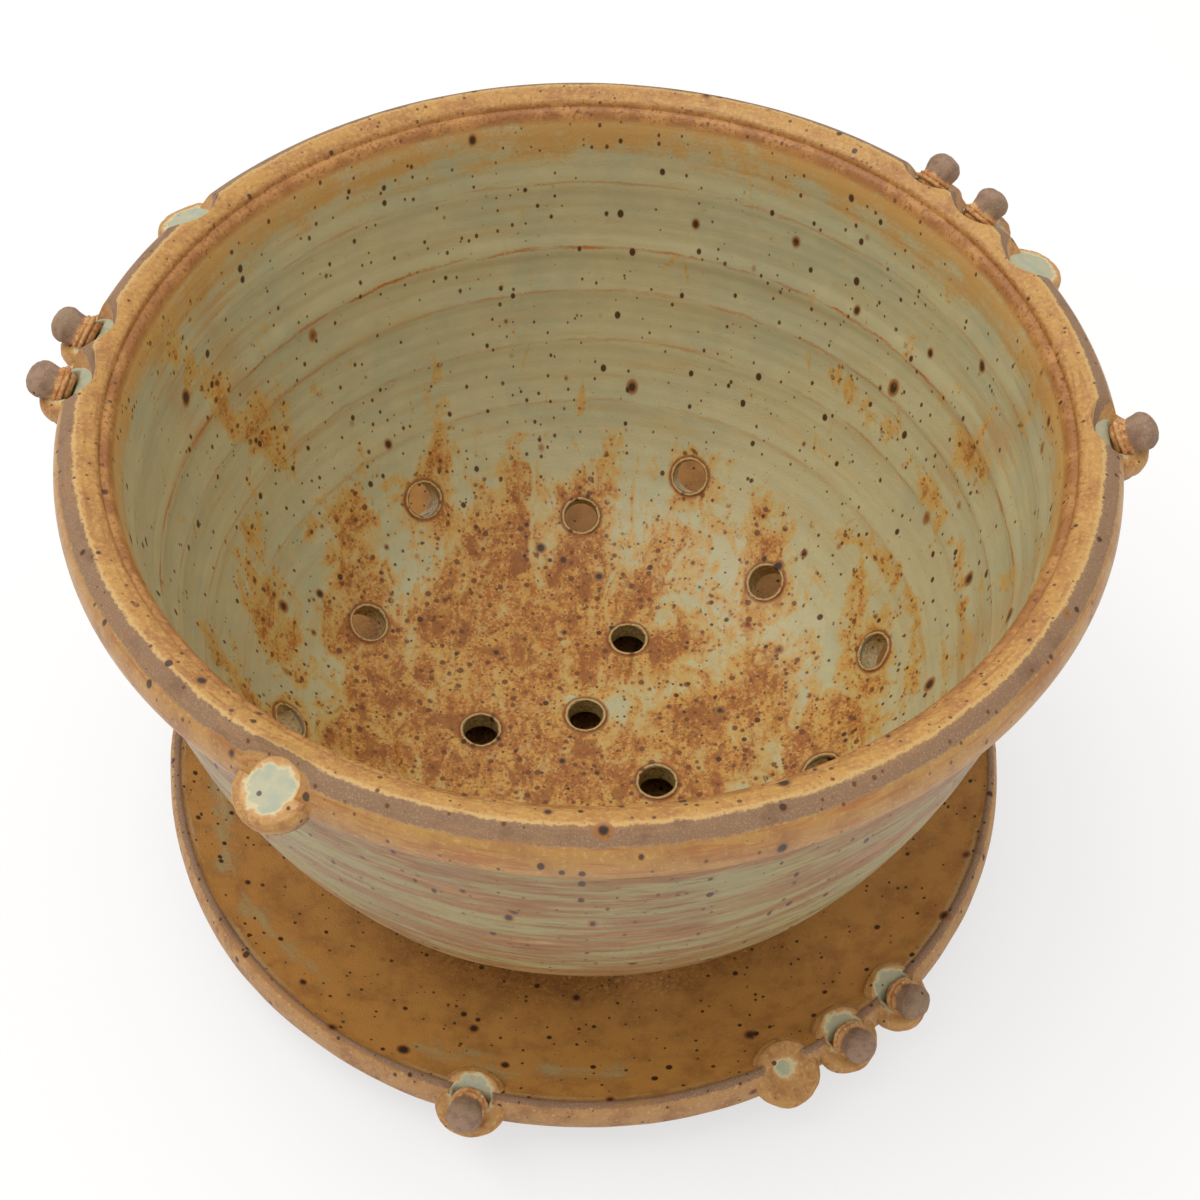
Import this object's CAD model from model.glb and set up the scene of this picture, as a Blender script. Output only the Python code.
# %% [markdown]
# # A stoneware berry bowl on its saucer
# The set is two thrown pots: a deep bowl with drain holes, and a saucer that catches the water.
# Thumb-pressed pads and small ridged pegs trim both rims. The measured frame comes first, and
# every length below is in metres, in that frame: the saucer's flat base is at the origin, up is
# +Z and the front of the pot is -Y.

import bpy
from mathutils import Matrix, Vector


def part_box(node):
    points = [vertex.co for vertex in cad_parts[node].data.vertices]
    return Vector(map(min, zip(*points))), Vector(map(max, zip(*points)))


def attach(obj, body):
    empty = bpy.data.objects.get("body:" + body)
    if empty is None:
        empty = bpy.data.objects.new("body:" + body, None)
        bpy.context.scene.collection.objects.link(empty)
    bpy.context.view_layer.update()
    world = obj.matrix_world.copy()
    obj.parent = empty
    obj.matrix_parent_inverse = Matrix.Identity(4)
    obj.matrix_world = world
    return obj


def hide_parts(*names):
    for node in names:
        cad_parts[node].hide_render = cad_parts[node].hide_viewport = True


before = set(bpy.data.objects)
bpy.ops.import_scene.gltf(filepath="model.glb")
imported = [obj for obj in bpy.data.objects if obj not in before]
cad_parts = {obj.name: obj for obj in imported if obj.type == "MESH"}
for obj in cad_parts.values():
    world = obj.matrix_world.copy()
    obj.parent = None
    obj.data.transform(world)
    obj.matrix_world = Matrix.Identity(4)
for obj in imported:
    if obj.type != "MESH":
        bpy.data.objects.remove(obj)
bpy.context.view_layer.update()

import math
import random

import bpy
import numpy as np
from mathutils import Matrix, Vector

mm = 1000
saucer_low, saucer_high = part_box("saucer")
bowl_low, bowl_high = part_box("bowl")
print("frame:", len(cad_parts), "pieces, heights in mm:")
print("saucer from", round(saucer_low[2] * mm, 1), "to", round(saucer_high[2] * mm, 1))
print("bowl from", round(bowl_low[2] * mm, 1), "to", round(bowl_high[2] * mm, 1))

# %% [markdown]
# ## Camera
# The view is from the front and well above, down into the bowl. The place and the three turns
# were worked out from how the two rims, the foot and the drain holes lie in the picture.

# %% Camera
camera_place = Vector((0, -0.22824, 0.34803))
camera_down = math.radians(51.337)
camera_right_turn = math.radians(0.66)
camera_roll = math.radians(1.484)
camera_lens_mm = 52.5

camera_data = bpy.data.cameras.new("camera")
camera_data.lens = camera_lens_mm
camera_data.clip_start = 0.01
camera = bpy.data.objects.new("camera", camera_data)
bpy.context.collection.objects.link(camera)
turn = (
    Matrix.Rotation(-camera_right_turn, 4, "Z")
    @ Matrix.Rotation(math.pi / 2 - camera_down, 4, "X")
    @ Matrix.Rotation(camera_roll, 4, "Z")
)
camera.matrix_world = Matrix.Translation(camera_place) @ turn
bpy.context.scene.camera = camera
print("camera at", tuple(round(v, 3) for v in camera_place))

# %% [markdown]
# ## Paint and nodes
# Every material and light is a small tree of nodes. One helper turns a paint chart's hex colour
# to linear light, and one adds a node with its settings and links, so that a tree reads like a
# recipe.

# %% Paint and nodes
def paint(code):
    """A hex colour as written on a paint chart, turned to linear."""
    parts = [int(code[k : k + 2], 16) / 255 for k in (1, 3, 5)]
    return tuple(c / 12.92 if c <= 0.04045 else ((c + 0.055) / 1.055) ** 2.4 for c in parts) + (1,)


def node_in(tree, kind, inputs=None, out=0, **settings):
    """Adds one node. An input takes a plain value or another node's output; returns one output."""
    node = tree.nodes.new(kind)
    for name, value in settings.items():
        setattr(node, name, value)
    for key, value in (inputs or {}).items():
        if isinstance(value, bpy.types.NodeSocket):
            tree.links.new(value, node.inputs[key])
        else:
            node.inputs[key].default_value = value
    return node.outputs[out]


print("a mid grey, #808080, is", round(paint("#808080")[0], 3), "in linear light")

# %% [markdown]
# ## Light
# The pot stands in soft daylight. A pale sky lights it from all round, and one broad lamp above
# on the left gives the satin glaze its sheen and the saucer its soft shadow. The camera sees the
# sky as plain white.

# %% Light
sky_strength = 0.85
sky_colour = (1, 0.985, 0.96, 1)
white_light = (1, 1, 1, 1)
lamp_power = 5
lamp_size = 0.9
lamp_place = Vector((-0.35, 0.05, 1.05))
lamp_aim = Vector((0, 0, 0.06))

world = bpy.data.worlds.new("sky")
world.use_nodes = True
tree = world.node_tree
seen = node_in(tree, "ShaderNodeLightPath", out="Is Camera Ray")
lit = tree.nodes["Background"]
lit.inputs["Strength"].default_value = sky_strength
lit.inputs["Color"].default_value = sky_colour
white = node_in(tree, "ShaderNodeBackground", {"Color": white_light, "Strength": 1})
both = node_in(tree, "ShaderNodeMixShader", {0: seen, 1: lit.outputs[0], 2: white})
tree.links.new(both, tree.nodes["World Output"].inputs["Surface"])
bpy.context.scene.world = world

lamp_data = bpy.data.lights.new("window", "AREA")
lamp_data.energy = lamp_power
lamp_data.shape = "DISK"
lamp_data.size = lamp_size
lamp = bpy.data.objects.new("window", lamp_data)
bpy.context.collection.objects.link(lamp)
facing = (lamp_aim - lamp_place).to_track_quat("-Z", "Y").to_matrix().to_4x4()
lamp.matrix_world = Matrix.Translation(lamp_place) @ facing
print("sky of", sky_strength, "and a lamp of", lamp_power, "W,", lamp_size, "m across")

# %% [markdown]
# ## Ground
# The ground is a sheet of matt white paper. Towards the camera part of its white comes from its
# own colour, so that it stays white without more light on the pot, and it still takes a shadow.

# %% Ground
ground_size = 8
glow_share = 0.6
bpy.ops.object.select_all(action="DESELECT")
bpy.ops.mesh.primitive_plane_add(size=ground_size, location=(0, 0, 0))
ground = bpy.context.object
ground.name = "ground"
paper = bpy.data.materials.new("white_paper")
paper.use_nodes = True
tree = paper.node_tree
tree.nodes.remove(tree.nodes["Principled BSDF"])
matt = node_in(tree, "ShaderNodeBsdfDiffuse", {"Color": paint("#F7F7F7")})
glow = node_in(tree, "ShaderNodeEmission", {"Color": white_light, "Strength": 1})
seen = node_in(tree, "ShaderNodeLightPath", out="Is Camera Ray")
share = node_in(tree, "ShaderNodeMath", {0: seen, 1: glow_share}, operation="MULTIPLY")
both = node_in(tree, "ShaderNodeMixShader", {0: share, 1: matt, 2: glow})
tree.links.new(both, tree.nodes["Material Output"].inputs["Surface"])
ground.data.materials.append(paper)
bpy.context.scene.view_settings.view_transform = "Standard"
print("ground:", ground_size, "m of paper")

# %% [markdown]
# ## The thrown bowl
# A potter pulls the bowl up on the wheel, so its whole form is one outline turned about the
# axis. Its sizes were measured in the frame above. The inside keeps its throwing ridges and finer
# finger lines, and the outside its grooves.

# %% Sizes of the bowl
rim_r = 0.095
bowl_h = 0.117
wall_t = 0.005
floor_t = 0.0045
band_step = 0.0045
band_h = 0.0085
band_bulge = 0.0017
bevel_w = 0.0027
bevel_rise = 0.0018
lip_w = 0.0038
lip_drop = 0.0015
lip_groove = 0.0005
foot_r = 0.043
foot_w = 0.006
foot_h = 0.0087
foot_edge = 0.001
foot_z = bowl_low[2]

ridge_z = foot_z + bowl_h
edge_z = ridge_z - bevel_rise
wall_top_z = edge_z - band_h
under_z = foot_z + foot_h
floor_z = under_z + floor_t
body_r = rim_r - band_step
inner_r = body_r - wall_t
outer_depth = wall_top_z - under_z
inner_depth = wall_top_z - floor_z
belly_power = 1.9
belly_root = 0.22

ridge_h = 0.0006
ridge_w = 0.0024
ridge_depths = (0.0187, 0.0355, 0.0468, 0.0594, 0.0739)
ridge_strengths = (0.5, 1, 0.6, 0.5, 0.4)
line_h = 0.00007
line_pitch = 0.0034
groove_h = 0.00035
groove_pitch = 0.0056
point_step = 0.0011
round_reach = 0.0003
inside_steps = 1200
outside_steps = 400
outside_crowding = 1.2
print("bowl", round(2 * rim_r * mm), "mm across and", round(bowl_h * mm), "mm high")

# %% [markdown]
# ### Tools for an outline
# An outline is a list of points, each with a radius and a height. The wall swells like a squared
# circle, which bulges low down as a bellied bowl does. The tools give the ridges' height, spread
# points evenly along a line, and round its corners as a wet sponge does.

# %% Tools for an outline
def throwing_ridges(z):
    """How far the ridges inside the wall stand out at a height."""
    depth = edge_z - z
    crests = zip(ridge_depths, ridge_strengths)
    high = sum(share * math.exp(-(((depth - crest) / ridge_w) ** 2)) for crest, share in crests)
    return ridge_h * high + line_h * math.sin(2 * math.pi * z / line_pitch)


def even_steps(points, step):
    """The same line with points at even steps along it."""
    points = np.array(points)
    along = np.concatenate([[0], np.cumsum(np.hypot(*np.diff(points, axis=0).T))])
    places = np.linspace(0, along[-1], round(along[-1] / step) + 1)
    return [tuple(p) for p in np.stack([np.interp(places, along, points[:, i]) for i in (0, 1)], 1)]


def soften(points, reach):
    """Rounds each corner of a line: the corner becomes two points a short reach away from it."""
    soft = [points[0]]
    for a, b, c in zip(points, points[1:], points[2:]):
        a, b, c = Vector(a), Vector(b), Vector(c)
        for end in (a, c):
            way = end - b
            soft.append(tuple(b + way.normalized() * min(reach, way.length / 3)))
    return soft + [points[-1]]


def belly_share(depth_share):
    """The wall's radius at a share of its depth, as a share of its widest."""
    return max(0, 1 - depth_share ** belly_power) ** belly_root


print("half way down the wall is", round(100 * belly_share(0.5)), "percent of its widest")

# %% [markdown]
# ### Outline of the bowl
# The line starts in the middle of the floor, climbs the inside, rolls over the lip and the bevel
# and down the band, and comes back along the grooved outside and round the foot ring to the axis
# under the floor.

# %% Outline of the bowl
inside = []
for k in range(1, inside_steps):
    angle = math.radians(90 - 90 * k / inside_steps)
    t = math.sin(angle) ** (2 / belly_power)
    z = wall_top_z - inner_depth * t
    inside.append((inner_r * math.cos(angle) ** (2 * belly_root) - throwing_ridges(z), z))
inside = [(0, floor_z - throwing_ridges(floor_z))] + inside
inside = even_steps(inside, point_step)

lip_r = rim_r - bevel_w - lip_w
lip_z = ridge_z - lip_drop
roll_shares = [(0, 0.75), (0.12, 0.45), (0.35, 0.24), (0.62, 0.16), (0.86, 0.17)]
roll = [(inner_r + s * (lip_r - inner_r), lip_z - v * band_h) for s, v in roll_shares]
lip = [(lip_r - lip_groove, lip_z - lip_groove), (lip_r, lip_z)]
lip += [(rim_r - bevel_w - lip_w / 2, ridge_z - lip_drop / 3), (rim_r - bevel_w, ridge_z)]
band_shares = [(0, 0), (0.45, 0.1), (0.8, 0.28), (1, 0.52), (0.92, 0.74), (0.6, 0.9), (0, 0.985)]
band = [(rim_r + s * band_bulge, edge_z - v * band_h) for s, v in band_shares]
rim = even_steps(soften(soften(roll + lip + band, 2 * round_reach), round_reach), point_step / 2)

outside = []
for k in range(outside_steps):
    z = wall_top_z - outer_depth * (k / outside_steps) ** outside_crowding
    depth = wall_top_z - z
    groove = groove_h * (1 - math.cos(2 * math.pi * depth / groove_pitch)) / 2
    r = body_r * belly_share(depth / outer_depth) - groove
    if r > foot_r:
        outside.append((r, z))
foot_in_r = foot_r - foot_w
foot = [(foot_r, under_z), (foot_r, foot_z + foot_edge), (foot_r - foot_edge, foot_z)]
foot += [(foot_in_r + foot_edge, foot_z), (foot_in_r, foot_z + foot_edge)]
foot += [(foot_in_r - foot_edge, under_z - foot_edge), (foot_in_r - 3 * foot_edge, under_z)]
foot += [(0, under_z)]
bowl_outline = inside + rim + even_steps(outside, point_step) + even_steps(foot, 2.5 * point_step)
print("outline of the bowl:", len(bowl_outline), "points")

# %% [markdown]
# ## Sizes of the saucer
# The saucer is nearly as wide as the bowl but low, because it only catches what drips from the
# holes. It is made later, but its sizes are needed now: four of the pads sit on its rim.

# %% Saucer sizes
saucer_r = 0.094
saucer_h = 0.02
saucer_floor_t = foot_z
saucer_flat_r = 0.05
saucer_base_r = 0.058
saucer_bevel_w = 0.0019
saucer_bevel_rise = 0.0006
saucer_band_h = 0.008
saucer_band_bulge = 0.0012
dish_power = 2.2
flare_power = 1.35

saucer_edge_r = saucer_r - saucer_band_bulge
saucer_edge_z = saucer_h - saucer_bevel_rise
saucer_in_r = saucer_edge_r - saucer_bevel_w
print("saucer", round(2 * saucer_r * mm), "mm across and", round(saucer_h * mm), "mm high")

# %% [markdown]
# ## Sizes of the pads and pegs
# Both rims carry small pads of clay, pressed on by hand and so not evenly spaced, and most pads
# hold a peg that leans outwards. Pads that stand together are placed from the middle of their
# group, because their clay touches and has to keep its distance.

# %% Pad and peg sizes
pad_r = 0.0062
pad_h = 0.005
pad_edge_w = 0.0015
pad_hollow = 0.0015
pad_tilt = math.radians(20)
pad_out = 0.001
pad_sink = 0.0033
saucer_pad_out = 0.0002
pad_collar = 0.0005
saucer_collar = 0.0008
collar_drop = 0.0022
peg_r = 0.0035
peg_l = 0.0082
peg_stem_l = 0.003
stem_r = 0.0038
coil_shares = (0.8, 1, 0.94)
peg_depth = 0.0024
peg_groove = 0.0004
seat_gap = 0.0001

# Azimuth of a pad's group, its place along the rim from there as a share of the width of a pad
# with its collar, its share of the outward tilt, the lean of its peg in degrees, and how far out
# the peg stands as a share of the pad's radius
bowl_pads = [
    (148.2, 0, 1, None, 0),
    (174.25, -0.518, 1.05, 41, 0.06),
    (174.25, 0.518, 0.925, 44, 0.08),
    (240.1, 0, 0.9, None, 0),
    (34.9, 1.025, 1.05, 27, -0.1),
    (34.9, 0, 0.9, 28, -0.2),
    (34.9, -1.213, 0.7, None, 0),
    (356.4, 0, 1, 35, 0.04),
]
saucer_pads = [
    (256.8, 0, 1, 40, 0.06),
    (305.2, -1.032, 0.95, None, 0),
    (305.2, 0, 1.02, 36, 0.04),
    (305.2, 1.055, 0.97, 40, 0),
]
print(len(bowl_pads), "pads on the bowl and", len(saucer_pads), "on the saucer")

# %% [markdown]
# ### Where pads and pegs sit
# Each pad has a frame of its own, tilted out over the rim, and each peg a frame inside its pad's.
# The same frames place the hollows in the rims, the pads and the pegs, so that all of them fit.

# %% Where pads and pegs sit
def on_rim(az, r, z, tilt):
    """The frame of a pad: out along the azimuth, up, and tilted over the rim."""
    turn_to = Matrix.Rotation(math.radians(az), 4, "Z")
    return turn_to @ Matrix.Translation((r, 0, z)) @ Matrix.Rotation(tilt, 4, "Y")


def on_seat(lean, out_share):
    """The frame of a peg inside its pad's."""
    seat = Matrix.Translation((pad_r * out_share, 0, -peg_depth))
    return seat @ Matrix.Rotation(math.radians(lean), 4, "Y")


def pad_places(body, pads, r, z, collar):
    """A row for each pad: name, pot, frame, lean of its peg, how far out that is, and collar."""
    made = []
    for k, (group, place, tilt_share, lean, out) in enumerate(pads):
        az = group + math.degrees(place * 2 * (pad_r + collar) / r)
        spot = on_rim(az, r, z, pad_tilt * tilt_share)
        made.append((f"{body}_pad_{k + 1}", body, spot, lean, out, collar))
    return made


pad_list = pad_places("bowl", bowl_pads, rim_r + pad_out, ridge_z - pad_sink, pad_collar)
saucer_pad_r = saucer_edge_r + saucer_pad_out
pad_list += pad_places("saucer", saucer_pads, saucer_pad_r, saucer_h, saucer_collar)
print(len(pad_list), "pads hold", sum(1 for p in pad_list if p[3] is not None), "pegs")

# %% [markdown]
# ### Turning a line into a pot
# A wheel does the same thing to clay that Spin does to a line. The helper walks the outline in
# edit mode, one extrude a point, spins it once round, merges the doubled points where the turn
# closes and at the axis, and makes the faces look outwards.

# %% Turning a line into a pot
turn_steps = 288
merge_gap = 0.000001


def only(thing):
    """Makes one object the selected and active one."""
    bpy.ops.object.select_all(action="DESELECT")
    thing.select_set(True)
    bpy.context.view_layer.objects.active = thing


def turned(name, outline, steps):
    """A closed form of revolution: the outline is walked in the XZ plane and spun round Z."""
    bpy.ops.object.select_all(action="DESELECT")
    bpy.ops.mesh.primitive_plane_add(size=wall_t, location=(0, 0, 0))
    form = bpy.context.object
    form.name = name
    bpy.ops.object.mode_set(mode="EDIT")
    bpy.ops.mesh.select_mode(type="VERT")
    bpy.ops.mesh.select_all(action="SELECT")
    bpy.ops.mesh.merge(type="CENTER")
    bpy.ops.transform.translate(value=(outline[0][0], 0, outline[0][1]))
    for (r0, z0), (r1, z1) in zip(outline, outline[1:]):
        bpy.ops.mesh.extrude_vertices_move(TRANSFORM_OT_translate={"value": (r1 - r0, 0, z1 - z0)})
    bpy.ops.mesh.select_all(action="SELECT")
    bpy.ops.mesh.spin(steps=steps, angle=2 * math.pi, center=(0, 0, 0), axis=(0, 0, 1))
    bpy.ops.mesh.select_all(action="SELECT")
    bpy.ops.mesh.remove_doubles(threshold=merge_gap)
    bpy.ops.mesh.normals_make_consistent(inside=False)
    bpy.ops.object.mode_set(mode="OBJECT")
    bpy.ops.object.shade_smooth()
    return form


bowl_skin = turned("berry_bowl", bowl_outline, turn_steps)
print("thrown bowl:", len(bowl_skin.data.polygons), "faces")

# %% [markdown]
# ### Tools for wet clay
# Four small tools serve every piece from here on. They copy a form, apply a modifier, read a
# form's points, and press it out of true. The pressing pushes the surface in and out by a soft
# cloud pattern, because clay that was handled wet is never quite even.

# %% Tools for wet clay
def copy_of(thing, name):
    """A copy with its own mesh."""
    twin = thing.copy()
    twin.data = thing.data.copy()
    twin.name = name
    bpy.context.collection.objects.link(twin)
    return twin


def shaped(thing, kind, **settings):
    """Gives a form a modifier with its settings and applies it."""
    change = thing.modifiers.new(kind, kind)
    for name, value in settings.items():
        setattr(change, name, value)
    only(thing)
    bpy.ops.object.modifier_apply(modifier=change.name)


def places(thing):
    """The points of a mesh as rows of x, y and z."""
    co = np.empty(len(thing.data.vertices) * 3)
    thing.data.vertices.foreach_get("co", co)
    return co.reshape(-1, 3)


def pressed(thing, name, depth, grain, along="NORMAL", group=""):
    """Pushes a surface in and out by a cloud pattern of a grain size, within a depth."""
    cloud = bpy.data.textures.new(name, "CLOUDS")
    cloud.noise_scale = grain
    cloud.noise_depth = 1
    push = {"texture": cloud, "texture_coords": "LOCAL", "direction": along, "strength": depth}
    shaped(thing, "DISPLACE", mid_level=0.5, vertex_group=group, **push)


print("the bowl's skin has", len(places(bowl_skin)), "points to press")

# %% [markdown]
# ### The mark of the hands
# No thrown wall is a perfect turning. A slow cloud pushes the wall in and out by a third of a
# millimetre, and another lifts and lowers the throwing ridges inside, because fingers climb the
# wall while the wheel turns. The rim and the foot were trimmed, so they move least.

# %% The mark of the hands
trimmed_h = 0.012
trimmed_fade = 0.015
rim_give = 0.25
spots = places(bowl_skin)
spot_r = np.hypot(spots[:, 0], spots[:, 1])
wall_deep = np.clip((edge_z - trimmed_h - spots[:, 2]) / trimmed_fade, 0, 1)
curve_r = np.interp(spots[:, 2], [p[1] for p in inside], [p[0] for p in inside])
within = (spot_r < curve_r + wall_t / 3) & (spots[:, 2] > floor_z - wall_t / 3)
within &= spots[:, 2] < wall_top_z + band_h
off_rim = bowl_skin.vertex_groups.new(name="off_rim")
rising = bowl_skin.vertex_groups.new(name="rising")
for k in range(len(spots)):
    if wall_deep[k] > 0:
        off_rim.add([k], float(rim_give + (1 - rim_give) * wall_deep[k]), "REPLACE")
        if within[k] and spot_r[k] > foot_r:
            rising.add([k], float(wall_deep[k]), "REPLACE")
    elif spots[k, 2] > foot_z + foot_h:
        off_rim.add([k], rim_give, "REPLACE")
pressed(bowl_skin, "finger_climb", depth=0.006, grain=0.09, along="Z", group="rising")
pressed(bowl_skin, "hand_waver", depth=0.0011, grain=0.045, group="off_rim")
pressed(bowl_skin, "rib_chatter", depth=0.0003, grain=0.012, group="off_rim")
print("wall pushed by hand at", len(spots), "points")

# %% [markdown]
# ### Drain holes
# Sixteen holes were punched through the leather-hard wall with a hollow punch, square to the clay
# at each place: one in the middle and rings of three, six and six. One cutter stands for the
# punch. It is copied to each place, and one Boolean takes all the copies away.

# %% Drain holes
drain_r = 0.0042
drain_rings = [
    (0.024, (66, 191, 312)),
    (0.0545, (39, 92, 158, 219, 280, 341)),
    (0.065, (7, 68, 128, 192, 256, 315)),
]
slope_step = 0.01
punch_l = 6 * wall_t


def belly_depth(radius_share):
    """How deep the inside lies at a share of its radius, as a share of its depth."""
    return (1 - radius_share ** (1 / belly_root)) ** (1 / belly_power)


drain_frames = [Matrix.Translation((0, 0, floor_z))]
for ring_r, azimuths in drain_rings:
    share = ring_r / inner_r
    rise = inner_depth * (belly_depth(share) - belly_depth(share + slope_step))
    tilt = math.atan2(rise, inner_r * slope_step)
    for az in azimuths:
        spot = Matrix.Translation((ring_r, 0, wall_top_z - inner_depth * belly_depth(share)))
        turn_to = Matrix.Rotation(math.radians(az), 4, "Z")
        drain_frames.append(turn_to @ spot @ Matrix.Rotation(-tilt, 4, "Y"))

bpy.ops.object.select_all(action="DESELECT")
bpy.ops.mesh.primitive_cylinder_add(vertices=40, radius=drain_r, depth=punch_l, location=(0, 0, 0))
punch = bpy.context.object
punch.name = "punch"
cutters = []
for frame_of in drain_frames:
    cutter = copy_of(punch, "cutter")
    cutter.data.transform(frame_of)
    cutters.append(cutter)
wall_before = bowl_skin.data.copy()
print("punches set:", len(cutters))

# %% [markdown]
# ### Cutting the holes and pressing the pockets
# The thumb that pressed a pad home left a pocket in the rim, wider at the top. One funnel stands
# for the thumb, and is set in each pad's frame. Its edge grips the pad by half a millimetre, so
# that no gap shows round it. Holes and pockets are cut in one Boolean each.

# %% Cutting the holes and pressing the pockets
def cut_away(thing, cutters):
    """Joins the cutters and takes them away from a form in one Boolean."""
    only(cutters[0])
    for cutter in cutters:
        cutter.select_set(True)
    if len(cutters) > 1:
        bpy.ops.object.join()
    shaped(thing, "BOOLEAN", operation="DIFFERENCE", solver="EXACT", object=cutters[0])
    bpy.data.objects.remove(cutters[0])


pocket_deep = 0.0042
pocket_grip = 0.0005
pocket_flare = 1.15


def pockets(body):
    """Funnels that the thumb pressed into a rim, standing in the pads' own frames."""
    made = []
    low_r = pad_r - pocket_grip - pocket_flare * pocket_deep
    sizes = {"radius1": low_r, "radius2": low_r + pocket_flare * 2 * pad_h, "depth": 2 * pad_h}
    for name, owner, spot, lean, out, collar in pad_list:
        if owner == body:
            bpy.ops.object.select_all(action="DESELECT")
            bpy.ops.mesh.primitive_cone_add(vertices=64, location=(0, 0, 0), **sizes)
            pocket = bpy.context.object
            pocket.data.transform(spot @ Matrix.Translation((0, 0, pad_h - pocket_deep)))
            made.append(pocket)
    return made


cut_away(bowl_skin, cutters)
cut_away(bowl_skin, pockets("bowl"))
bpy.data.objects.remove(punch)
print("drain holes:", len(drain_frames), "faces now:", len(bowl_skin.data.polygons))

# %% [markdown]
# ### Rolled edges of the holes
# The punch pushes up a thin burr, and glaze beads on it. Each hole gets such a bead: a torus
# whose ring is dropped, point by point, onto the wall round the hole, so that it follows the
# curve of the clay, and whose thickness wavers.

# %% Rolled edges of the holes
bead_r = 0.00048
bead_steps = 56
bead_sides = 10
bead_waver = 0.35
bead_sink = 0.3
crease = math.radians(48)
random.seed(16)
wall_object = bpy.data.objects.new("wall_before", wall_before)
bpy.context.collection.objects.link(wall_object)
bpy.context.view_layer.update()
beads = []
for frame_of in drain_frames:
    bpy.ops.object.select_all(action="DESELECT")
    bpy.ops.mesh.primitive_torus_add(
        major_radius=drain_r + bead_r / 3,
        minor_radius=bead_r,
        major_segments=bead_steps,
        minor_segments=bead_sides,
        location=(0, 0, 0),
    )
    bead = bpy.context.object
    bead.name = "hole_edge"
    co = places(bead)
    turns = np.arctan2(co[:, 1], co[:, 0])
    phase = [random.uniform(0, 2 * math.pi) for _ in range(3)]
    waves = 0.6 * np.sin(2 * turns + phase[0]) + 0.4 * np.sin(5 * turns + phase[1])
    swell = 1 + bead_waver * waves
    ring = np.stack([np.cos(turns), np.sin(turns), 0 * turns], 1) * (drain_r + bead_r / 3)
    co = ring + (co - ring) * swell[:, None]
    down = (frame_of.to_3x3() @ Vector((0, 0, -1))).normalized()
    for j in range(len(co)):
        start = frame_of @ Vector(ring[j]) - down * wall_t
        hit, spot = wall_object.ray_cast(start, down, distance=3 * wall_t)[:2]
        lift = (start - spot).length - wall_t if hit else 0
        bead.data.vertices[j].co = frame_of @ Vector(co[j]) + down * (lift + bead_r * bead_sink)
    bpy.ops.object.shade_smooth()
    beads.append(bead)
bpy.data.objects.remove(wall_object)
only(bowl_skin)
for bead in beads:
    bead.select_set(True)
bpy.ops.object.join()
bpy.ops.object.shade_smooth_by_angle(angle=crease)
print("beads round the holes:", len(beads))

# %% [markdown]
# ## The saucer
# The saucer is thrown as a low dish: a flat floor that the bowl's foot stands on, a slope that
# sweeps up to a bare ridge, and the same rolled band outside. It is turned and hand-worn in the
# same way as the bowl.

# %% The saucer
floor_line_h = 0.00009
dish_steps = 100
flare_steps = 60
dish = [(0, saucer_floor_t)]
for k in range(dish_steps + 1):
    share = k / dish_steps
    r = saucer_flat_r + (saucer_in_r - saucer_flat_r) * share
    wave = floor_line_h * math.sin(2 * math.pi * r / line_pitch) * min(1, 8 * share * (1 - share))
    dish.append((r, saucer_floor_t + (saucer_edge_z - saucer_floor_t) * share ** dish_power + wave))
ridge = [(saucer_in_r + saucer_bevel_w / 6, saucer_h), (saucer_in_r + saucer_bevel_w / 2, saucer_h)]
saucer_band = []
for s, v in band_shares:
    saucer_band.append((saucer_edge_r + s * saucer_band_bulge, saucer_edge_z - v * saucer_band_h))
base_edge = saucer_floor_t / 5
run = saucer_edge_r - saucer_band_bulge - saucer_base_r - base_edge
rise = saucer_edge_z - saucer_band_h - base_edge
flare = []
for k in range(flare_steps):
    share = 1 - k / flare_steps
    flare.append((saucer_base_r + base_edge + run * share, base_edge + rise * share ** flare_power))
flare += [(saucer_base_r + base_edge, base_edge), (saucer_base_r, 0), (0, 0)]
saucer_round = 0.00025
saucer_rim = soften(soften([dish[-1]] + ridge + saucer_band, 2 * saucer_round), saucer_round)
saucer_outline = even_steps(dish, 1.6 * point_step)[:-1] + even_steps(saucer_rim, point_step / 2)
saucer_outline += even_steps(flare, 2 * point_step)[1:]
saucer_skin = turned("drip_saucer", saucer_outline, turn_steps)

spots = places(saucer_skin)
soft = saucer_skin.vertex_groups.new(name="soft")
off_foot = np.hypot(spots[:, 0], spots[:, 1]) > foot_r + wall_t
for k in np.nonzero(off_foot & (spots[:, 2] > base_edge * 2))[0]:
    soft.add([int(k)], 1, "REPLACE")
pressed(saucer_skin, "saucer_waver", depth=0.0006, grain=0.04, group="soft")
pressed(saucer_skin, "saucer_chatter", depth=0.00025, grain=0.01, group="soft")
cut_away(saucer_skin, pockets("saucer"))
bpy.ops.object.shade_smooth_by_angle(angle=crease)
print("saucer:", len(saucer_skin.data.polygons), "faces")

# %% [markdown]
# ## Thumb pads
# Each pad is a ball of clay pressed onto the rim with a thumb: a thick disc with a raised edge, a
# hollow for the pool of glaze, and a skirt of clay that swells down over the rim. The pad is shaped
# once from a cylinder by insets and moves. Each copy gets the seat of its own peg, is fused into
# one skin by a voxel remesh, and then dented differently.

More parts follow.
